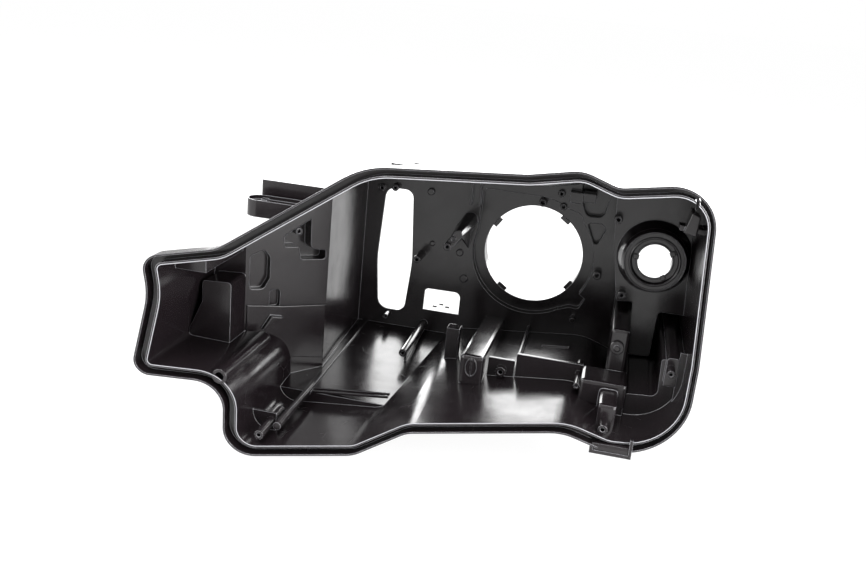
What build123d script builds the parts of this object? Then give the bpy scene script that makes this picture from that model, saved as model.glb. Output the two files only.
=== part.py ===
from build123d import *
import os
from math import sqrt

# Bare housing of a car headlamp, one thin walled injection moulding that is open at the front.
# X runs along the back plate, Y runs rearwards along the lamp, Z is up. Lengths are millimetres.
# The origin is the centre of the main round opening, on the front face of its seat.
# A "forward" distance is counted from the origin towards the open front.

# Walls
wall = 2.5
rib = 2.2

# Levels of the faces that look forward
seat = 0.0
plate = 10.0
lamp_block = 75.0
ledge = 180.0
wing_back = 215.0

# Front mouth: corners as (x, z, corner radius), seen from the front
mouth = (
    (-303, 28.5, 5),
    (-245.5, 40, 40),
    (-124, 125.5, 60),
    (10, 132.2, 60),
    (54, 139.8, 25),
    (86, 127.8, 30),
    (162.5, 138.5, 30),
    (173.6, -20, 150),
    (174, -101.5, 48),
    (112, -101, 30),
    (72, -86.5, 60),
    (-74, -102.8, 35),
    (-121, -131, 20),
    (-229, -142.8, 18),
    (-230, -69.5, 38),
    (-312, -67.5, 5),
    (-298.5, 1, 80),
)

# The mouth lies in a raked plane. The roof falls towards the back, and its left slope leans left.
mouth_forward = 270.0
mouth_rake = 0.20
roof_fall = 0.19
slope_lean = 0.30
roof = ((-340, 114.7, 0),) + mouth[3:6] + ((190, 142.4, 30), (200, -200, 0), (-340, -200, 0))
left_slope = ((-340, 21, 5), mouth[1], (300, 424, 0), (300, -200, 0), (-340, -200, 0))
roof_lead = 4.0
roof_clear = 1.5

# Glue channel around the mouth
lip = 1.8
channel = 6.4
outer_lip = 1.6
channel_depth = 12.0
channel_floor = 2.5
flange = lip + channel + outer_lip
flange_shift = (-2.7, 0.0, -1.0)

# Side of the lamp on the left: wing, slanted wall and side wall, seen from above
side_x = -203.0
side_forward = 146.0
slant_x = -267.0

# Main round opening with its seat, tabs and rear collar
main_bore = 115.0
main_collar_bore = 117.0
main_collar = 2.5
main_collar_depth = 26.0
tab_count = 4
tab_width = 12.0
tab_height = 4.5
tab_depth = 2.1
tab_setback = 0.4
tab_start = 55.0
tab_root = 0.5
seat_radius = 70.5

# Small round opening on its own block
small_x = 133.0
small_z = 37.0
small_bore = 36.0
small_seat = 47.0
small_front = 63.0
small_base = 78.6
small_front_y = -98.0
small_seat_y = -94.0
small_cut = small_base - 6
small_collar_depth = 24.0

# Fixing lugs on the roof
fixing_hole = 7.0
roof_lug = 150.0
roof_lug_top = 115.5
roof_lug_thick = 3.0
roof_lug_width = 46.0
roof_lug_length = 30.0
roof_lug_x = (-117.0, -50.0)

# Locating ear on the left slope
ear_x = -242.0
ear_y = -200.0
ear_low = 53.0
ear_height = 17.0
ear_length = 62.0
ear_width = 26.0
ear_cup = 4.0
ear_slot = (28.0, 7.0)

# Small blocks outside: left x, right x, front, back, low z, high z
ear_blocks = (
    (ear_x - 5, -196, 206, 190, 28, ear_low + 2),
    (-267, -200, 180, 177, 54, 84),
    (-262, -256, 195, 177, ear_low + 4, ear_low + 14),
)
window_shelf = (-123, -79, 9, -25, -89.4, -87.4)
foot_blocks = (
    (95, 134, 250, 215, -115, -111.5),
    (95, 98, 250, 215, -115, -96),
    (131, 134, 250, 215, -115, -96),
)

# Openings in the floor and in the glue channel
floor_slit = (28, 58, 58, 52, -110, -80)
drain_x = 152.3
drain_z = 130.5
drain_bore = 5.0

# Thin bosses and bores have ten flat sides, to keep their facets few
bar_sides = 10

FAR = 500.0


def facing(forward):
    return Plane.XZ.offset(forward)


def region(corners, forward, grow=0.0):
    """Closed outline with rounded corners on a plane that faces forward."""
    points = [(x, z) for x, z, _ in corners]
    radii = [radius for _, _, radius in corners]
    with BuildSketch(facing(forward)) as face:
        with BuildLine():
            FilletPolyline(*points, radius=radii, close=True)
        make_face()
        if grow:
            offset(amount=grow)
    return face.sketch


def plan_region(points, height, grow=0.0):
    """Closed outline seen from above, on a level plane."""
    with BuildSketch(Plane.XY.offset(height)) as face:
        with BuildLine():
            Polyline(*points, close=True)
        make_face()
        if grow:
            offset(amount=grow, kind=Kind.INTERSECTION)
    return face.sketch


def side_region(points, x, grow=0.0):
    """Closed outline seen from the right, as (y, z) points."""
    with BuildSketch(Plane.YZ.offset(x)) as face:
        with BuildLine():
            Polyline(*points, close=True)
        make_face()
        if grow:
            offset(amount=grow, kind=Kind.INTERSECTION)
    return face.sketch


def mouth_y(x, setback=0.0):
    return -mouth_forward + mouth_rake * x + setback


def mouth_band(first, last):
    """Level band between two planes parallel to the mouth, set back by first and last."""
    points = (
        (-FAR, mouth_y(-FAR, first)),
        (FAR, mouth_y(FAR, first)),
        (FAR, mouth_y(FAR, last)),
        (-FAR, mouth_y(-FAR, last)),
    )
    return plan_region(points, -FAR)


def mouth_prism(outline, grow, back, lead):
    """An outline run straight back, cut off lead in front of the mouth."""
    with BuildPart() as prism:
        extrude(region(outline, FAR, grow), amount=-(FAR - back))
        extrude(mouth_band(-FAR, -lead), amount=2 * FAR, mode=Mode.SUBTRACT)
    return prism


def body_solid(grow, back, lead):
    """The lamp's hollow, or with a wall's thickness around it the lamp's outside."""
    with BuildPart() as roofed:
        add(mouth_prism(mouth, grow, back, lead).part)
        for outline, lean in ((roof, 0.0), (left_slope, slope_lean)):
            start = mouth_prism(outline, grow + roof_clear, back, roof_lead)
            with BuildPart(mode=Mode.INTERSECT):
                front = start.faces().sort_by(Axis.Y)[0]
                extrude(front, amount=FAR, dir=(-lean, 1, -roof_fall))
    return roofed.part


def disc(x, z, diameter, forward):
    """Circle on a plane that faces forward."""
    with BuildSketch(facing(forward)) as face:
        with Locations((x, z)):
            Circle(diameter / 2)
    return face.sketch


def bar(x, z, width, tip, foot):
    """Boss or bore along Y, from its tip in front to its foot, with few sides because it is thin."""
    with BuildSketch(facing(tip)) as face:
        with Locations((x, z)):
            RegularPolygon(width / 2, bar_sides)
    extrude(face.sketch, amount=-(tip - foot))


def block(left, right, front, back, low, high):
    """Box between two x values, two forward distances and two heights."""
    with Locations((left, -front, low)):
        Box(right - left, front - back, high - low, align=Align.MIN)


# What stands in from the lamp's outside, as outlines that the hollow leaves free
left_plan = (
    (-FAR, -wing_back),
    (slant_x, -wing_back),
    (side_x, -side_forward),
    (side_x, FAR),
    (-FAR, FAR),
)
lamp_block_outline = (
    (81, 140, 0),
    (89, 48, 0),
    (101, -18, 3),
    (118.5, -16, 3),
    (122.5, -77, 4),
    (146, -75.5, 4),
    (147, -23, 5),
    (230, -23, 0),
    (230, 140, 0),
)
ledge_outline = (
    (122.5, -160, 0),
    (122.5, -79, 3),
    (153, -76.5, 7),
    (151, -37, 3),
    (230, -37, 0),
    (230, -160, 0),
)
column_outline = ((101.5, -25, 2), (118, -25, 2), (118, -70, 2), (101.5, -70, 2))
ledge_post_outline = ((155.5, -31, 3), (167.5, -31, 3), (167.5, -60, 0), (155.5, -60, 0))
wing_block_outline = (
    (-310, -80, 0),
    (-310, -60, 2),
    (-297, -30, 4),
    (-297, -8, 3),
    (-267, -6, 4),
    (-267, -80, 0),
)
forward_forms = (
    (lamp_block_outline, lamp_block),
    (ledge_outline, ledge),
    (column_outline, 150.0),
    (ledge_post_outline, 190.0),
    (wing_block_outline, 250.0),
)

# What stands up from the floor and is cored from below: left x, right x and outline as (y, z)
floor_forms = (
    (-FAR, -60.0, ((-205, -127.5), (40, -109), (40, -250), (-205, -250))),
    (-45.0, -23.0, ((-179, -68), (-5, -83), (-5, -160), (-179, -160))),
    (78.0, 122.0, ((-186, -69.7), (-148, -69.7), (-148, -160), (-186, -160))),
    (98.0, 114.0, ((-225, -76), (-180, -76), (-180, -160), (-225, -160))),
)

# Recesses of the back plate, which sink to the level of the seat
seat_corner = (
    (-67.5, 15, 0),
    (-65.5, 72, 8),
    (4, 71, 10),
    (30, 62, 6),
    (49, 57, 8),
    (62, 28, 0),
)
seat_foot = (
    (38, -60, 0),
    (50, -55, 3),
    (61, -56, 5),
    (67, -42, 0),
    (30, -20, 0),
)
pocket_upper = (
    (47, 140, 0),
    (46, 76, 4),
    (55, 55, 8),
    (74, 56, 8),
    (78, 76, 4),
    (78, 140, 0),
)
pocket_lower = (
    (57, 48, 3),
    (75, 49, 6),
    (79, 42, 4),
    (70, 20, 3),
)
plate_recesses = (seat_corner, seat_foot, pocket_upper, pocket_lower)

# Openings that go through the back plate
slot = (
    (-180, 57, 12),
    (-147.5, 57, 10),
    (-141.5, -30, 150),
    (-146.5, -93.5, 11),
    (-179.5, -93, 14),
    (-185, -30, 150),
)
window = (
    (-122.5, -59.5, 5),
    (-79, -59, 7),
    (-79, -86.5, 0),
    (-123, -86.5, 0),
)

# Recesses of the slanted wall, as (distance along the wall, z, corner radius) from its back edge
slant_run = sqrt((side_x - slant_x) ** 2 + (wing_back - side_forward) ** 2)
slant_along = ((side_x - slant_x) / slant_run, (wing_back - side_forward) / slant_run)
slant_plane = Plane(
    origin=(side_x, -side_forward, 0),
    x_dir=(slant_along[0], slant_along[1], 0),
    z_dir=(slant_along[1], -slant_along[0], 0),
)
slant_recesses = (
    (7.0, ((-90, -24, 5), (-74, -25, 6), (-67.5, -14, 5), (-67.5, 8, 6), (-74, 17, 5), (-90, 12, 5))),
    (5.0, ((-67, -46, 3), (-55, -46, 3), (-55, -27, 4), (-67, -27, 4))),
    (14.0, ((-53, 18, 3), (-36, 17, 2), (-33, 3, 3), (-4, 1, 3), (-4, 11, 3), (-22, 14, 6), (-23, 46, 0),
            (-53, 30, 0))),
)
slant_boss = (-36.0, 33.0)
slant_boss_width = 8.0
slant_boss_bore = 3.6
slant_boss_foot = 16.0
slant_boss_length = 15.0
slant_bore_depth = 10.0


def slant_region(outline, grow):
    """Closed outline on the slanted wall; the grown one has plain corners."""
    with BuildSketch(slant_plane) as face:
        with BuildLine():
            if grow:
                Polyline(*[(s, z) for s, z, _ in outline], close=True)
            else:
                FilletPolyline(*[(s, z) for s, z, _ in outline], radius=[r for _, _, r in outline], close=True)
        make_face()
        if grow:
            offset(amount=grow, kind=Kind.INTERSECTION)
    return face.sketch


def plate_form(grow):
    """All that lies behind the back plate, apart from its recesses."""
    with BuildPart() as form:
        with BuildSketch(facing(plate - grow)):
            Rectangle(2 * FAR, 2 * FAR)
        extrude(amount=-FAR)
        extrude(disc(0, 0, 2 * (seat_radius + grow), FAR), amount=-2 * FAR, mode=Mode.SUBTRACT)
        for outline in plate_recesses:
            extrude(region(outline, FAR, grow), amount=-2 * FAR, mode=Mode.SUBTRACT)
    return form.part


def form_the_space(grow):
    """Takes from the current part what stands in from the outside, thinner by grow."""
    extrude(plan_region(left_plan, -FAR, -grow), amount=2 * FAR, mode=Mode.SUBTRACT)
    for depth, outline in slant_recesses:
        extrude(slant_region(outline, grow), amount=-depth - grow)
    for outline, level in forward_forms:
        extrude(region(outline, level - grow, -grow), amount=-FAR, mode=Mode.SUBTRACT)
    for left, right, profile in floor_forms:
        width = right - left - 2 * grow
        extrude(side_region(profile, left + grow, -grow), amount=width, mode=Mode.SUBTRACT)
    add(plate_form(grow), mode=Mode.SUBTRACT)


with BuildPart() as hollow:
    add(body_solid(0, seat, roof_lead - 1))
    form_the_space(0)

with BuildPart() as outside:
    add(body_solid(wall, seat - wall, 0))
    form_the_space(wall)

# Bosses that face forward: x, z, tip, foot, diameter, bore
bosses = (
    (-185, 56, 14, 8, 8.0, 3.4),
    (-168, 59, 18, 8, 8.0, 3.4),
    (-130, -17, 40, 8, 8.6, 4.2),
    (-126, 59, 14, 8, 8.0, 0.0),
    (-85, -9, 13, 8, 8.0, 0.0),
    (-77, -40, 13, 8, 9.0, 0.0),
    (4, 64, 12, -1, 9.0, 5.0),
    (28, 63, 14, -1, 8.0, 3.6),
    (24, 78, 16, 8, 8.0, 3.6),
    (77, -9, 22, 8, 9.0, 4.2),
    (90, 73, 86, 73, 8.6, 4.2),
    (106, -8, 86, 73, 8.6, 4.2),
    (160, -42, 205, 178, 8.0, 3.6),
    (74, -78, 186, 120, 6.6, 2.8),
    (104.5, -93, 243, 220, 9.0, 4.2),
    (-5.5, -88, 160, 146, 11.0, 5.0),
    (-120, -104, 116, 8, 9.0, 4.2),
    (-210, -131, 308, 250, 9.0, 4.2),
    (-87.2, 17.5, 90, 8, 8.6, 4.2),
    (-82, 26, 87, 86, 7.0, 3.4),
    (108, -43, 153, 148, 14.0, 0.0),
    (108, -43, 156, 148, 6.0, 0.0),
    (-165, -98, 26, 8, 6.0, 2.8),
    (-119, -3, 12, 8, 6.0, 0.0),
    (57, -66, 24, 8, 6.0, 0.0),
    (117, -105, 236, 220, 5.0, 0.0),
    (-246, -73, 312, 212, 14.0, 9.0),
)

# Tapered oval tower of the two long screw bosses
tower_middle = (-80, 27, 0)
tower_turn = (0, 0, 59)
tower_length = 30.0
tower_width = 17.0
tower_height = 78.0
tower_draft = 3
tower_web = ((-8, 26), (-72, 26), (-8, -2))
tower_web_x = -77.0

# Rounded rib along the floor's left edge: x, z, width, tip, foot
floor_bar = (-199, -128, 8.0, 290, 8)

# Upright ribs: left x, right x, front, back, low z, high z
ribs = (
    (-306, -271, 298, 214, 17, 40),
    (152, 155, 200, 176, 95, 114),
    (144, 166, 198, 176, 96, 99),
    (34, 49, 22, 8, 71, 83),
    (49, 63, 24, 8, 74, 84),
    (-74, -60, 112, 97, -120, -67),
    (-20, 8, 153, 149, -110, -76),
    (9, 78, 152, 148, -110, -68),
    (167, 175, 185, 182.5, -80, -26),
    (-234, -205, 276, 273.5, -150, -122),
    (6, 8.2, 148, 8, -110, -86),
    (-79, -76.8, 16, 8, 51, 130),
    (-69, -66.8, 16, 8, 51, 130),
    (-121.2, -118.8, 100, 8, -125, -106),
)

with BuildPart() as fittings:
    for x, z, tip, foot, diameter, bore in bosses:
        bar(x, z, diameter, tip, foot)
    for edges in ribs:
        block(*edges)
    bar(*floor_bar)
    with BuildSketch(slant_plane.offset(-slant_boss_foot)):
        with Locations(slant_boss):
            RegularPolygon(slant_boss_width / 2, bar_sides)
    extrude(amount=slant_boss_length)
    with BuildSketch(facing(plate - 2)) as tower_foot:
        with Locations(Location(tower_middle, tower_turn)):
            Rectangle(tower_length, tower_width)
        chamfer(tower_foot.vertices(), tower_width / 3)
    extrude(amount=tower_height, taper=tower_draft)
    extrude(side_region(tower_web, tower_web_x), amount=rib)
    add(outside.part, mode=Mode.INTERSECT)

# The small opening's stepped cone as (radius, y), open from behind
small_profile = (
    (small_bore / 2, small_seat_y),
    (small_seat / 2, small_seat_y),
    (small_seat / 2 + 0.8, small_front_y),
    (small_front / 2, small_front_y),
    (small_base / 2, -lamp_block),
    (small_base / 2, wall - lamp_block),
    (small_base / 2 - 3, wall - lamp_block),
    (small_front / 2 - 2.2, small_front_y + wall),
    (small_seat / 2 + 2.8, small_front_y + wall),
    (small_seat / 2 + 2.2, small_seat_y + wall),
    (small_bore / 2 + wall, small_seat_y + wall),
    (small_bore / 2 + wall, small_seat_y + small_collar_depth),
    (small_bore / 2, small_seat_y + small_collar_depth),
)
with BuildPart() as small_cone:
    with BuildSketch(Plane.XY.offset(small_z)):
        with BuildLine():
            Polyline(*[(small_x + radius, y) for radius, y in small_profile], close=True)
        make_face()
    revolve(axis=Axis((small_x, 0, small_z), (0, 1, 0)))

# Brackets on the lamp's outside
with BuildPart() as brackets:
    # Locating ear: an upright-walled oval cup on a foot, with a plate behind it
    with BuildSketch(Plane.XY.offset(ear_low)):
        with Locations((ear_x, ear_y)):
            SlotOverall(ear_length, ear_width)
    extrude(amount=ear_height)
    with BuildSketch(Plane.XY.offset(ear_low + ear_height)):
        with Locations((ear_x, ear_y)):
            SlotOverall(ear_length - 2, ear_width - 2)
    extrude(amount=-ear_cup, mode=Mode.SUBTRACT)
    with BuildSketch(Plane.XY.offset(ear_low - 1)):
        with Locations((ear_x - 6, ear_y)):
            SlotOverall(*ear_slot)
    extrude(amount=ear_height + 4, mode=Mode.SUBTRACT)
    for edges in ear_blocks:
        block(*edges)
    # Fixing lugs on the roof, each a flat tab on two ribs
    for x in roof_lug_x:
        with BuildSketch(Plane.XY.offset(roof_lug_top)):
            with Locations((x, -roof_lug)):
                RectangleRounded(roof_lug_width, roof_lug_length, 6)
        extrude(amount=-roof_lug_thick)
        for side in (-1, 1):
            middle = x + side * (roof_lug_width / 2 - 4)
            block(middle - rib / 2, middle + rib / 2, roof_lug + 12, roof_lug - 12, 92, roof_lug_top - 1)
    # Shelf behind the window, and the foot under the rim
    block(*window_shelf)
    for edges in foot_blocks:
        block(*edges)

# The rim around the mouth, with the channel that takes the glue and the lens
with BuildPart() as rim:
    extrude(region(mouth, FAR, flange).moved(Location(flange_shift)), amount=-FAR)
    with BuildPart(mode=Mode.INTERSECT):
        extrude(mouth_band(0, channel_depth + channel_floor), amount=2 * FAR)
with BuildPart() as groove:
    extrude(region(mouth, FAR, lip + channel).moved(Location(flange_shift)), amount=-FAR)
    extrude(region(mouth, FAR, lip), amount=-FAR, mode=Mode.SUBTRACT)
    with BuildPart(mode=Mode.INTERSECT):
        extrude(mouth_band(-5, channel_depth), amount=2 * FAR)

with BuildPart() as tabs:
    for turn in range(tab_count):
        angle = tab_start + 360 / tab_count * turn
        with Locations(Location((0, tab_setback, 0), (0, -angle, 0))):
            with Locations((main_bore / 2 + tab_root, 0, 0)):
                Box(tab_height + tab_root, tab_depth, tab_width, align=(Align.MAX, Align.MIN, Align.CENTER))

with BuildPart() as cuts:
    extrude(disc(0, 0, main_collar_bore, -wall), amount=-FAR)
    extrude(disc(0, 0, main_bore, 10), amount=-20)
    extrude(disc(small_x, small_z, small_cut, lamp_block + 1), amount=-4)
    extrude(region(slot, plate + 1), amount=-6)
    extrude(region(window, plate + 1), amount=-6)
    with BuildSketch(Plane.XY.offset(roof_lug_top + 1)):
        with Locations(*[(x, -roof_lug) for x in roof_lug_x]):
            Circle(fixing_hole / 2)
    extrude(amount=-roof_lug_thick - 2)
    extrude(disc(drain_x, drain_z, drain_bore, 260), amount=-60)
    block(*floor_slit)

with BuildPart() as bores:
    for x, z, tip, foot, diameter, bore in bosses:
        if bore:
            bar(x, z, bore, tip + 1, max(tip - 12, foot))
    with BuildSketch(slant_plane):
        with Locations(slant_boss):
            RegularPolygon(slant_boss_bore / 2, bar_sides)
    extrude(amount=-slant_bore_depth)

with BuildPart() as housing:
    add(outside.part)
    add(rim.part)
    add(brackets.part)
    extrude(disc(0, 0, main_collar_bore + 2 * main_collar, -main_collar_depth), amount=main_collar_depth)
    add(hollow.part, mode=Mode.SUBTRACT)
    add(groove.part, mode=Mode.SUBTRACT)
    add(cuts.part, mode=Mode.SUBTRACT)
    add(fittings.part)
    add(small_cone.part)
    add(tabs.part)
    add(bores.part, mode=Mode.SUBTRACT)

os.makedirs("parts", exist_ok=True)
housing.part.label = "headlamp_housing"
export_step(housing.part, "parts/headlamp_housing.step")
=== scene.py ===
import bmesh
import bpy
from math import radians
from mathutils import Matrix, Vector


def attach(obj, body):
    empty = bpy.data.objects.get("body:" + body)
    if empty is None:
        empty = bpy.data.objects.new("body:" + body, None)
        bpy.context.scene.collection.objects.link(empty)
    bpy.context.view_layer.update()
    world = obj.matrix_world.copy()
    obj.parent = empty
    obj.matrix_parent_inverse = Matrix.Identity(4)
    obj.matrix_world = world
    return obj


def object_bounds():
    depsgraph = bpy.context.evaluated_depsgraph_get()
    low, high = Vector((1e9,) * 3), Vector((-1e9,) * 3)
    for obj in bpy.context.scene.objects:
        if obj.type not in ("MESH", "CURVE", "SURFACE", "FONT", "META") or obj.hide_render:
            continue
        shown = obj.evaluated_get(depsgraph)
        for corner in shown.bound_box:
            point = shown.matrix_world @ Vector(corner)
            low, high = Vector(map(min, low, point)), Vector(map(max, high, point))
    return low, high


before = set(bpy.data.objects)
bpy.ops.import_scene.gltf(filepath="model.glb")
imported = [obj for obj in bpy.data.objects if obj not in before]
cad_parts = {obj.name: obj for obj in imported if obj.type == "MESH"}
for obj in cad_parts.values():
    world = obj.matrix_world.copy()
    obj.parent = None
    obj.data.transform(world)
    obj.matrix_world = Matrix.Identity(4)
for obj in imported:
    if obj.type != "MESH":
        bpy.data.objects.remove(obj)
cad_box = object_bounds()
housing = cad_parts["headlamp_housing"]

# Camera: the photograph's width and focal length in pixels, and its place in millimetres
PHOTO_WIDTH = 866
FOCAL_PIXELS = 914
SENSOR_WIDTH = 36.0
CAMERA_PLACE = (77.8, -1039.4, 282.0)
CAMERA_RIGHT = (0.9726, 0.2118, 0.0957)
CAMERA_UP = (-0.1550, 0.2844, 0.9461)

# Surroundings: the floor's gap and size in metres, its share and strength of own white, and the room's light
FLOOR_GAP = 0.002
FLOOR_SIZE = 60
PAPER_GLOW = 0.80
PAPER_WHITE = 1.13
ROOM_LIGHT = 0.5

# Soft lights: name, place, aim and size in millimetres, and power in watts
SOFTBOXES = (
    ("key_light", (-200, -900, 1500), (-50, -150, 0), 700, 36),
    ("fill_light", (1100, -650, 250), (-200, -200, 0), 1200, 46),
    ("left_light", (-1100, -900, 450), (0, -150, 0), 900, 16),
    ("back_light", (-150, 1200, 250), (-50, -150, 0), 1800, 72),
)

# The plastic's colours and gloss: its bulk, the painted highlight along its edges and the painted highlight
# on its lip bead
# The pale edge colour is a painted highlight, not wear
BLACK = "#151113"
EDGE_HIGHLIGHT_PAINT = "#7a7a7e"
# The lip bead's pale colour is a painted highlight, not rubbing
LIP_HIGHLIGHT_PAINT = "#8a8a8e"
PLASTIC_IOR = 1.50
GLOSS_RANGE = (0.17, 0.25)
LIP_HIGHLIGHT_ROUGHNESS = 0.45
LINE_ROUGHNESS = 0.05

# The plastic's patterns in metres: distances from mark to mark, heights, and where floor lines begin
FLOW_PITCH = 0.025
PATCH_WIDTH = 0.028
FLOOR_LEVELS = (-0.085, -0.1)
WAVE_PITCH = 0.03
WAVE_HEIGHT = 0.0006
GRAIN_PITCH = 0.0006
GRAIN_HEIGHT = 0.0002
EDGE_ROUNDING = 0.0013

# Screw bosses, pegs and the wing's tube in millimetres: x, z, tip and foot forward, diameter and bore
BOSSES = (
    (-185, 56, 14, 9, 8.0, 3.4),
    (-168, 59, 18, 9, 8.0, 3.4),
    (-130, -17, 40, 9, 8.6, 4.2),
    (-126, 59, 14, 9, 8.0, 0),
    (-85, -9, 13, 9, 8.0, 0),
    (-77, -40, 13, 9, 9.0, 0),
    (-119, -3, 12, 9, 6.0, 0),
    (-165, -98, 26, 9, 6.0, 2.8),
    (-87.2, 17.5, 90, 60, 8.6, 4.2),
    (-82, 26, 87, 84, 7.0, 3.4),
    (4, 64, 12, 0, 9.0, 5.0),
    (28, 63, 14, 0, 8.0, 3.6),
    (24, 78, 16, 9, 8.0, 3.6),
    (57, -66, 24, 9, 6.0, 0),
    (77, -9, 22, 9, 9.0, 4.2),
    (90, 73, 86, 74, 8.6, 4.2),
    (106, -8, 86, 74, 8.6, 4.2),
    (108, -43, 154.5, 150, 14.0, 0),
    (108, -43, 157, 150, 6.0, 0),
    (160, -42, 205, 180, 8.0, 3.6),
    (74, -78, 186, 152, 6.6, 2.8),
    (104.5, -93, 243, 224, 9.0, 4.2),
    (-5.5, -88, 160, 152, 11.0, 5.0),
    (-120, -104, 116, 12, 9.0, 4.2),
    (-210, -131, 308, 270, 9.0, 4.2),
    (-246, -73, 319.4, 214, 14.4, 9.0),
)

# How far a boss's skin stands over the solid, its bore's depth, and the bore's share of the solid one
BOSS_COVER = 0.15
BORE_DEPTH = 12
BORE_SHARE = 0.93

# Blocks with rounded skins: left, right, front, back, low and high, in millimetres
ROUNDED_BLOCKS = (
    (76.8, 123.2, -187.2, -148, -96, -68.5),
    (96.8, 115.2, -226.2, -182, -104, -74.8),
    (100.3, 119.2, -151.2, -74, -71.2, -23.8),
    (95.5, 133.5, -249.5, -217, -114.7, -104),
)
BLOCK_EDGE = 3.6

# The middle beam's skin: its left face, its width, and its side as pairs of y and z
BEAM_LEFT = -46.2
BEAM_WIDTH = 24.4
BEAM_SIDE = ((-180.2, -66.8), (-6, -81.6), (-6, -101), (-180.2, -101))
BEAM_EDGE = 4

# The small opening's axis, its seat's rings as pairs of radius and forward, and the turns of its three lugs
SMALL_AXIS = (133, 0, 37)
SEAT_RINGS = (
    ((23.2, 94.2), (24.2, 98.6), (25.4, 99.2), (26.6, 98.6), (27, 97.2), (25, 94.2)),
    ((29.8, 97.4), (30.4, 98.8), (31.6, 98.9), (34.4, 92.8), (33, 92.4)),
    ((17.7, 94.4), (18.1, 95.2), (19.4, 95.2), (19.8, 94.4), (19.8, 93.4), (18.2, 93.4)),
)
LUG_TURNS = (31, 173, 304)
LUG_FRONT = -93.6
LUG_DEPTH = 2.6

# Ribs behind the back plate in millimetres: left, right, low and high, then their front and depth
BACK_RIBS = (
    (-201, -72, 66, 68.2),
    (-132.5, -130.3, -108, 68),
    (-201, -72, -104, -101.8),
    (-130, -74, -24, -21.8),
)
BACK_RIB_FRONT = -8
BACK_RIB_DEPTH = 8

# Webs round the main collar: their turns in degrees, their corners and their thickness
WEB_TURNS = range(20, 380, 40)
WEB_CORNERS = ((60.4, 20, -1.1), (60.4, 1.5, -1.1), (70, 1.5, -1.1))
WEB_THICKNESS = 2.2

# Pads on the shelf behind the window in millimetres: middle and front, width, length, foot and height
PADS = ((-112, 8), (-97, 12), (-106, 19))
PAD_WIDTH = 5
PAD_LENGTH = 2.5
PAD_FOOT = -87.6
PAD_HEIGHT = 1.2

# The raked plane of the mouth in metres: its place at X = 0 and its slope
MOUTH_FRONT = -0.270
MOUTH_RAKE = 0.20

# The lip's bead: its play off that plane and its radius in metres, and its edge's least angle in degrees
LIP_PLAY = 2e-5
LIP_BEAD = 0.0004
SHARP_EDGE = 40

# A point in the middle of the hollow, in millimetres
HOLLOW_MIDDLE = (-60, -280, 0)

# Points nearer than this are one, in metres: in a new piece, and in the housing's facets
PIECE_WELD = 1e-6
HOUSING_WELD = 1e-5

# The slanted wall's plane: its back edge in millimetres, its run and its inward normal
SLANT_EDGE = (-203, -146)
SLANT_RUN = (0.680, 0.733)
SLANT_NORMAL = (0.733, -0.680)


def metres(values):
    """A vector in metres from values in millimetres."""
    return Vector(value / 1000 for value in values)


def linear(hex_colour):
    """An sRGB hex colour as linear RGBA."""
    parts = [int(hex_colour[i:i + 2], 16) / 255 for i in (1, 3, 5)]
    return [p / 12.92 if p <= 0.04045 else ((p + 0.055) / 1.055) ** 2.4 for p in parts] + [1.0]


def node(tree, kind, inputs=None, **attributes):
    """Adds a shader node with its attributes, and sets its sockets or links them to other nodes."""
    made = tree.nodes.new(kind)
    for name, value in attributes.items():
        setattr(made, name, value)
    for name, value in (inputs or {}).items():
        socket = made.inputs[name]
        if isinstance(value, bpy.types.NodeSocket):
            tree.links.new(value, socket)
        else:
            socket.default_value = value
    return made


def material(name):
    """A new material and its empty node tree."""
    made = bpy.data.materials.new(name)
    made.use_nodes = True
    made.node_tree.nodes.clear()
    return made, made.node_tree


def moulded_gloss(tree, place):
    """The plastic's roughness, with the marks that the melt leaves as it fills the mould."""
    flow = node(tree, "ShaderNodeTexNoise", {
        "Vector": place, "Scale": 1 / FLOW_PITCH, "Detail": 3.0, "Roughness": 0.55})
    gloss = node(tree, "ShaderNodeMapRange", {
        "Value": flow.outputs["Fac"], "From Min": 0.3, "From Max": 0.7,
        "To Min": GLOSS_RANGE[0], "To Max": GLOSS_RANGE[1]})
    # On the floor, streams of melt meet in faint lines round patches
    meeting = node(tree, "ShaderNodeTexVoronoi", {
        "Vector": place, "Scale": 1 / PATCH_WIDTH}, feature="DISTANCE_TO_EDGE")
    height = node(tree, "ShaderNodeSeparateXYZ", {"Vector": place}).outputs["Z"]
    on_floor = node(tree, "ShaderNodeMapRange", {
        "Value": height, "From Min": FLOOR_LEVELS[0], "From Max": FLOOR_LEVELS[1],
        "To Min": 0.0, "To Max": LINE_ROUGHNESS})
    line = node(tree, "ShaderNodeMapRange", {
        "Value": meeting.outputs["Distance"], "From Min": 0.0, "From Max": 0.014,
        "To Min": on_floor.outputs["Result"], "To Max": 0.0})
    total = node(tree, "ShaderNodeMath", {
        0: gloss.outputs["Result"], 1: line.outputs["Result"]}, operation="ADD")
    return total.outputs["Value"]


def moulded_relief(tree, place, edge_normal):
    """The wide waves that shrinkage leaves in flat walls, and the mould's fine grain on them."""
    sink = node(tree, "ShaderNodeTexNoise", {"Vector": place, "Scale": 1 / WAVE_PITCH, "Detail": 1.0})
    grain = node(tree, "ShaderNodeTexNoise", {"Vector": place, "Scale": 1 / GRAIN_PITCH, "Detail": 2.0})
    waves = node(tree, "ShaderNodeBump", {
        "Strength": 0.35, "Distance": WAVE_HEIGHT, "Height": sink.outputs["Fac"], "Normal": edge_normal})
    relief = node(tree, "ShaderNodeBump", {
        "Strength": 0.05, "Distance": GRAIN_HEIGHT, "Height": grain.outputs["Fac"],
        "Normal": waves.outputs["Normal"]})
    return relief.outputs["Normal"]


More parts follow.
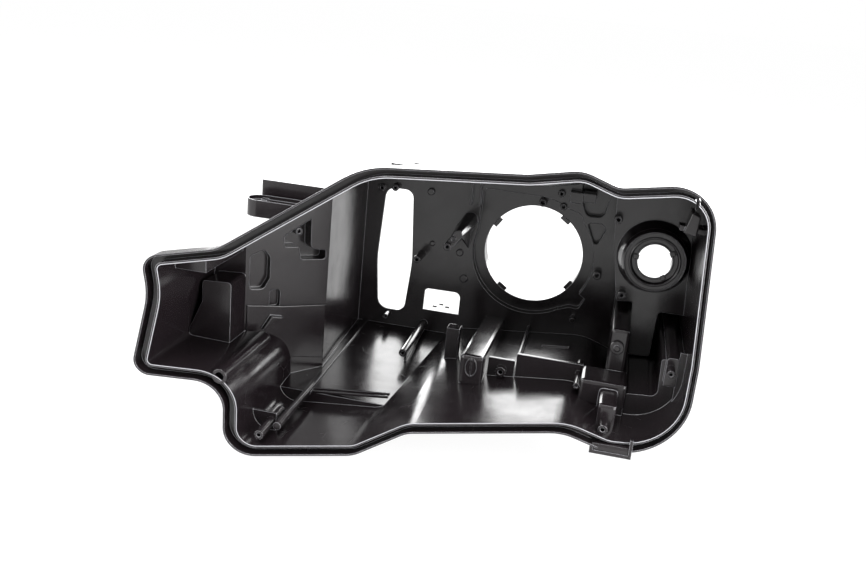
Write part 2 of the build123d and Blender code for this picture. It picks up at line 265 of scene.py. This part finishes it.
def painted_edge_highlights(tree, edge_normal):
    """Black plastic with a painted highlight along its edges: pale where the rounded normal turns away from
    the shape's.
    """
    shape_normal = node(tree, "ShaderNodeNewGeometry").outputs["Normal"]
    agreement = node(tree, "ShaderNodeVectorMath", {
        0: shape_normal, 1: edge_normal}, operation="DOT_PRODUCT")
    highlight_share = node(tree, "ShaderNodeMapRange", {
        "Value": agreement.outputs["Value"], "From Min": 0.95, "From Max": 0.74,
        "To Min": 0.0, "To Max": 1.0})
    colour = node(tree, "ShaderNodeMix", {
        "Factor": highlight_share.outputs["Result"], 6: linear(BLACK), 7: linear(EDGE_HIGHLIGHT_PAINT)}, data_type="RGBA")
    return colour.outputs[2]


def moulded_black_polypropylene():
    """Black polypropylene from a polished mould: glossy, with faint flow marks, soft edges and a painted
    highlight along them.
    """
    made, tree = material("moulded_black_polypropylene")
    place = node(tree, "ShaderNodeTexCoord").outputs["Object"]
    edge_normal = node(tree, "ShaderNodeBevel", {"Radius": EDGE_ROUNDING}, samples=8).outputs["Normal"]
    surface = node(tree, "ShaderNodeBsdfPrincipled", {
        "Base Color": painted_edge_highlights(tree, edge_normal), "IOR": PLASTIC_IOR,
        "Roughness": moulded_gloss(tree, place), "Normal": moulded_relief(tree, place, edge_normal)})
    node(tree, "ShaderNodeOutputMaterial", {"Surface": surface.outputs["BSDF"]})
    return made


def black_polypropylene_painted_lip_highlight():
    """The same plastic painted pale as a highlight, for the bead along the inmost edge of the flange."""
    made, tree = material("black_polypropylene_painted_lip_highlight")
    surface = node(tree, "ShaderNodeBsdfPrincipled", {
        "Base Color": linear(LIP_HIGHLIGHT_PAINT), "IOR": PLASTIC_IOR, "Roughness": LIP_HIGHLIGHT_ROUGHNESS})
    node(tree, "ShaderNodeOutputMaterial", {"Surface": surface.outputs["BSDF"]})
    return made


def seen_directly(tree):
    """One for the camera's rays and for reflections, nought for the light that falls on things."""
    rays = node(tree, "ShaderNodeLightPath")
    seen = node(tree, "ShaderNodeMath", {
        0: rays.outputs["Is Camera Ray"], 1: rays.outputs["Is Glossy Ray"]}, operation="MAXIMUM")
    return seen.outputs["Value"]


def set_world():
    """White surroundings to the eye, and an even grey studio light on the object."""
    world = bpy.data.worlds.new("studio")
    bpy.context.scene.world = world
    world.use_nodes = True
    tree = world.node_tree
    tree.nodes.clear()
    white = node(tree, "ShaderNodeBackground", {"Color": linear("#ffffff"), "Strength": 1.0})
    room = node(tree, "ShaderNodeBackground", {"Color": linear("#ffffff"), "Strength": ROOM_LIGHT})
    mixed = node(tree, "ShaderNodeMixShader", {
        "Fac": seen_directly(tree), 1: room.outputs["Background"], 2: white.outputs["Background"]})
    node(tree, "ShaderNodeOutputWorld", {"Surface": mixed.outputs["Shader"]})


def white_paper():
    """Matt white paper that keeps the object's shadow and is plain white elsewhere."""
    made, tree = material("white_paper")
    paper = node(tree, "ShaderNodeBsdfDiffuse", {"Color": linear("#f6f6f6")})
    glow = node(tree, "ShaderNodeEmission", {"Color": linear("#ffffff"), "Strength": PAPER_WHITE})
    share = node(tree, "ShaderNodeMath", {0: seen_directly(tree), 1: PAPER_GLOW}, operation="MULTIPLY")
    mixed = node(tree, "ShaderNodeMixShader", {
        "Fac": share.outputs["Value"], 1: paper.outputs["BSDF"], 2: glow.outputs["Emission"]})
    node(tree, "ShaderNodeOutputMaterial", {"Surface": mixed.outputs["Shader"]})
    return made


def add_floor():
    """A wide sheet of white paper just under the object."""
    low = cad_box[0][2] - FLOOR_GAP
    bpy.ops.mesh.primitive_plane_add(size=FLOOR_SIZE, location=(0, 0, low))
    floor = bpy.context.object
    floor.name = "floor"
    floor.data.transform(Matrix.Translation(floor.location))
    floor.location = (0, 0, 0)
    floor.data.materials.append(white_paper())


def finish_piece(name, shape, surface=None):
    """Turns a bmesh into a piece of the moulding."""
    bmesh.ops.remove_doubles(shape, verts=shape.verts, dist=PIECE_WELD)
    bmesh.ops.recalc_face_normals(shape, faces=shape.faces)
    mesh = bpy.data.meshes.new(name)
    shape.to_mesh(mesh)
    shape.free()
    piece = bpy.data.objects.new(name, mesh)
    bpy.context.collection.objects.link(piece)
    piece.data.materials.append(surface or plastic)
    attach(piece, "root")


def turn_profile(shape, profile, place, steps, turn=None):
    """Spins a closed profile of (radius, forward) about an axis that faces forward."""
    corners = [shape.verts.new((radius / 1000, -forward / 1000, 0)) for radius, forward in profile]
    edges = [shape.edges.new(pair) for pair in zip(corners, corners[1:] + corners[:1])]
    bmesh.ops.spin(shape, geom=corners + edges, cent=(0, 0, 0), axis=(0, 1, 0), angle=radians(360),
                   steps=steps, use_merge=True)
    ring = [vertex for vertex in shape.verts if not vertex.tag]
    placing = Matrix.Translation(metres(place)) @ (turn or Matrix())
    bmesh.ops.transform(shape, matrix=placing, verts=ring)
    for vertex in ring:
        vertex.tag = True


def slab(shape, corners, depth, edge=0.4):
    """A flat plate with rounded edges, from its corners and its depth in millimetres."""
    face = shape.faces.new([shape.verts.new(metres(corner)) for corner in corners])
    grown = bmesh.ops.extrude_face_region(shape, geom=[face], use_keep_orig=True)
    moved = [part for part in grown["geom"] if isinstance(part, bmesh.types.BMVert)]
    bmesh.ops.translate(shape, vec=metres(depth), verts=moved)
    sides = dict.fromkeys(side for vertex in list(face.verts) + moved for side in vertex.link_edges)
    bmesh.ops.bevel(shape, geom=list(sides), offset=edge / 1000, segments=2, profile=0.5,
                    affect="EDGES", material=-1, clamp_overlap=True)


def rectangle(left, right, front, low, high):
    """The corners of an upright rectangle that faces forward."""
    return ((left, front, low), (right, front, low), (right, front, high), (left, front, high))


def on_slant(along, height):
    """A point on the slanted wall in millimetres."""
    return SLANT_EDGE[0] + along * SLANT_RUN[0], SLANT_EDGE[1] + along * SLANT_RUN[1], height


def off_slant(depth):
    """A length that stands into the hollow from the slanted wall."""
    return depth * SLANT_NORMAL[0], depth * SLANT_NORMAL[1], 0


def boss_profile(tip, foot, diameter, bore):
    """Half section of a boss with a rounded lip, just over the solid one."""
    outer = diameter / 2 + BOSS_COVER
    crown = tip + BOSS_COVER
    shoulder = [(outer, foot), (outer, crown - 0.7), (outer - 0.25, crown - 0.2), (outer - 0.8, crown)]
    if not bore:
        return [(0, foot)] + shoulder + [(0, crown)]
    inner = bore / 2 * BORE_SHARE
    bottom = max(crown - BORE_DEPTH, foot)
    hole = [(inner + 0.5, crown), (inner, crown - 0.5), (inner, bottom), (0, bottom)]
    return [(0, foot)] + shoulder + hole


def add_screw_bosses():
    """Round bosses that stand over the ten-sided ones of the solid."""
    shape = bmesh.new()
    for x, z, tip, foot, diameter, bore in BOSSES:
        turn_profile(shape, boss_profile(tip, foot, diameter, bore), (x, 0, z), steps=28)
    finish_piece("screw_bosses", shape)


def add_floor_ribs():
    """The long rib along the floor's left edge, and the pair that crosses the floor."""
    shape = bmesh.new()
    slab(shape, ((-189.5, -10, -111), (-196.5, -10, -111), (-202.5, -206, -125.6), (-195.5, -206, -125.6)),
         (0, 0, -3.6), edge=1.2)
    for front, top in ((-205.5, -125.4), (-199, -125)):
        slab(shape, ((-194, front, top), (-194, front + 2.4, top), (-112, front + 2.4, top + 9),
                     (-112, front, top + 9)), (0, 0, -3), edge=0.7)
    finish_piece("floor_ribs", shape)


def add_slanted_wall_steps():
    """The slanted wall's thicker foot and the small web on it."""
    shape = bmesh.new()
    foot = ((-0.5, -50), (-50, -46), (-92, -40), (-92, -96), (-0.5, -112))
    slab(shape, [on_slant(*corner) for corner in foot], off_slant(1.6), edge=0.7)
    web = ((-76, -68), (-66, -54), (-52, -57))
    slab(shape, [on_slant(*corner) for corner in web], off_slant(6), edge=0.8)
    finish_piece("slanted_wall_steps", shape)


def add_small_opening_seat():
    """Rounded seat rings of the small opening, with the three bayonet lugs."""
    shape = bmesh.new()
    for ring in SEAT_RINGS:
        turn_profile(shape, ring, SMALL_AXIS, steps=64)
    for turn in LUG_TURNS:
        lug = bmesh.new()
        slab(lug, rectangle(16.6, 22.4, LUG_FRONT, -2.6, 2.6), (0, -LUG_DEPTH, 0))
        placing = Matrix.Translation(metres(SMALL_AXIS)) @ Matrix.Rotation(radians(-turn), 4, "Y")
        bmesh.ops.transform(lug, matrix=placing, verts=lug.verts)
        mesh = bpy.data.meshes.new("lug")
        lug.to_mesh(mesh)
        lug.free()
        shape.from_mesh(mesh)
        bpy.data.meshes.remove(mesh)
    finish_piece("small_opening_seat", shape)


def joined_edges(start, allowed):
    """The edges that an edge is joined to, end to end, among those allowed."""
    found = {start}
    waiting = [start]
    while waiting:
        for vertex in waiting.pop().verts:
            new = {side for side in vertex.link_edges if side in allowed} - found
            found |= new
            waiting.extend(new)
    return found


def faces_hollow(side):
    """Whether the wall below an edge of the mouth faces the middle of the hollow."""
    plane = Vector((MOUTH_RAKE, -1, 0)).normalized()
    wall = min(side.link_faces, key=lambda face: abs(face.normal.dot(plane)))
    middle = (side.verts[0].co + side.verts[1].co) / 2
    return wall.normal.dot(metres(HOLLOW_MIDDLE) - middle) > 0


def inmost_lip():
    """A mesh of the flange's inmost edge, read from the housing."""
    edges = bmesh.new()
    edges.from_mesh(housing.data)
    bmesh.ops.remove_doubles(edges, verts=edges.verts, dist=HOUSING_WELD)
    in_plane = {vertex for vertex in edges.verts
                if abs(vertex.co.y - MOUTH_FRONT - MOUTH_RAKE * vertex.co.x) < LIP_PLAY}
    lips = {side for side in edges.edges
            if in_plane.issuperset(side.verts) and len(side.link_faces) == 2
            and side.calc_face_angle() > radians(SHARP_EDGE)}
    outer_lip = joined_edges(min(lips, key=lambda side: side.verts[0].co.x), lips)
    inmost = {side for side in lips - outer_lip if faces_hollow(side)}
    bmesh.ops.delete(edges, geom=[side for side in edges.edges if side not in inmost], context="EDGES")
    mesh = bpy.data.meshes.new("lip_edges")
    edges.to_mesh(mesh)
    edges.free()
    return mesh


def add_lip_beads():
    """A rounded bead along the inmost edge of the flange's lips, which catches the light and is painted pale
    as a highlight.
    """
    path = bpy.data.objects.new("lip_edges", inmost_lip())
    bpy.context.collection.objects.link(path)
    bpy.ops.object.select_all(action="DESELECT")
    bpy.context.view_layer.objects.active = path
    path.select_set(True)
    bpy.ops.object.convert(target="CURVE")
    path = bpy.context.object
    path.data.bevel_depth = LIP_BEAD
    path.data.bevel_resolution = 2
    path.data.use_fill_caps = True
    bpy.ops.object.convert(target="MESH")
    tube = bpy.context.object
    shape = bmesh.new()
    shape.from_mesh(tube.data)
    bpy.data.objects.remove(tube)
    # The bead's pale colour is a painted highlight
    finish_piece("lip_beads", shape, black_polypropylene_painted_lip_highlight())


def add_rounded_blocks():
    """Skins with rounded edges over the beam, the column and the blocks on the floor."""
    shape = bmesh.new()
    slab(shape, [(BEAM_LEFT, y, z) for y, z in BEAM_SIDE], (BEAM_WIDTH, 0, 0), edge=BEAM_EDGE)
    for left, right, front, back, low, high in ROUNDED_BLOCKS:
        slab(shape, rectangle(left, right, front, low, high), (0, back - front, 0), edge=BLOCK_EDGE)
    finish_piece("rounded_blocks", shape)


def add_beam_pocket_lip():
    """The lip of the middle beam's oval pocket, with the bar across it."""
    shape = bmesh.new()
    oval = Matrix.Diagonal((0.6, 1, 1, 1))
    turn_profile(shape, ((8.6, 180), (8.8, 181), (9.8, 181.3), (10.8, 180.8), (11, 180)),
                 (-34, 0, -80), steps=48, turn=oval)
    slab(shape, rectangle(-35, -33, -180, -71, -89), (0, -1.3, 0))
    finish_piece("beam_pocket_lip", shape)


def add_corner_bracket():
    """The clip of the bracket in the upper right corner."""
    shape = bmesh.new()
    slab(shape, ((147, -190, 96), (159, -190, 94), (160, -190, 112), (152, -190, 115)),
         (0, -16, 0), edge=0.9)
    slab(shape, ((143, -198, 97), (167, -198, 95), (167, -198, 100), (143, -198, 102)),
         (0, -4, 0), edge=0.8)
    finish_piece("corner_bracket", shape)


def add_shelf_pads():
    """Small pads on the shelf that shows through the window."""
    shape = bmesh.new()
    for middle, front in PADS:
        left = middle - PAD_WIDTH / 2
        right = middle + PAD_WIDTH / 2
        back = front + PAD_LENGTH
        slab(shape, ((left, front, PAD_FOOT), (right, front, PAD_FOOT), (right, back, PAD_FOOT),
                     (left, back, PAD_FOOT)), (0, 0, PAD_HEIGHT))
    finish_piece("shelf_pads", shape)


def add_back_ribs():
    """Stiffening ribs behind the back plate, and the webs round the main collar."""
    shape = bmesh.new()
    for turn in WEB_TURNS:
        spoke = Matrix.Rotation(radians(turn), 4, "Y")
        ends = [spoke @ Vector(corner) for corner in WEB_CORNERS]
        slab(shape, ends, spoke @ Vector((0, 0, WEB_THICKNESS)))
    for left, right, low, high in BACK_RIBS:
        slab(shape, rectangle(left, right, BACK_RIB_FRONT, low, high), (0, BACK_RIB_DEPTH, 0))
    finish_piece("back_ribs", shape)


def add_softbox(name, place, aim, size, power):
    """A square soft light, placed and aimed in millimetres."""
    data = bpy.data.lights.new(name, "AREA")
    data.shape = "SQUARE"
    data.size = size / 1000
    data.energy = power
    light = bpy.data.objects.new(name, data)
    light.visible_camera = False
    light.location = metres(place)
    light.rotation_euler = (metres(aim) - metres(place)).to_track_quat("-Z", "Y").to_euler()
    bpy.context.collection.objects.link(light)


def add_camera():
    """The photograph's view."""
    data = bpy.data.cameras.new("camera")
    data.sensor_width = SENSOR_WIDTH
    data.lens = SENSOR_WIDTH * FOCAL_PIXELS / PHOTO_WIDTH
    camera = bpy.data.objects.new("camera", data)
    right = Vector(CAMERA_RIGHT).normalized()
    up = Vector(CAMERA_UP)
    up = (up - right * up.dot(right)).normalized()
    turn = Matrix((right, up, right.cross(up))).transposed().to_4x4()
    camera.matrix_world = Matrix.Translation(metres(CAMERA_PLACE)) @ turn
    bpy.context.collection.objects.link(camera)
    bpy.context.scene.camera = camera


plastic = moulded_black_polypropylene()
housing.data.materials.clear()
housing.data.materials.append(plastic)
add_screw_bosses()
add_floor_ribs()
add_slanted_wall_steps()
add_small_opening_seat()
add_lip_beads()
add_rounded_blocks()
add_beam_pocket_lip()
add_corner_bracket()
add_shelf_pads()
add_back_ribs()

set_world()
add_floor()
for softbox in SOFTBOXES:
    add_softbox(*softbox)
add_camera()
bpy.context.scene.view_settings.view_transform = "Standard"
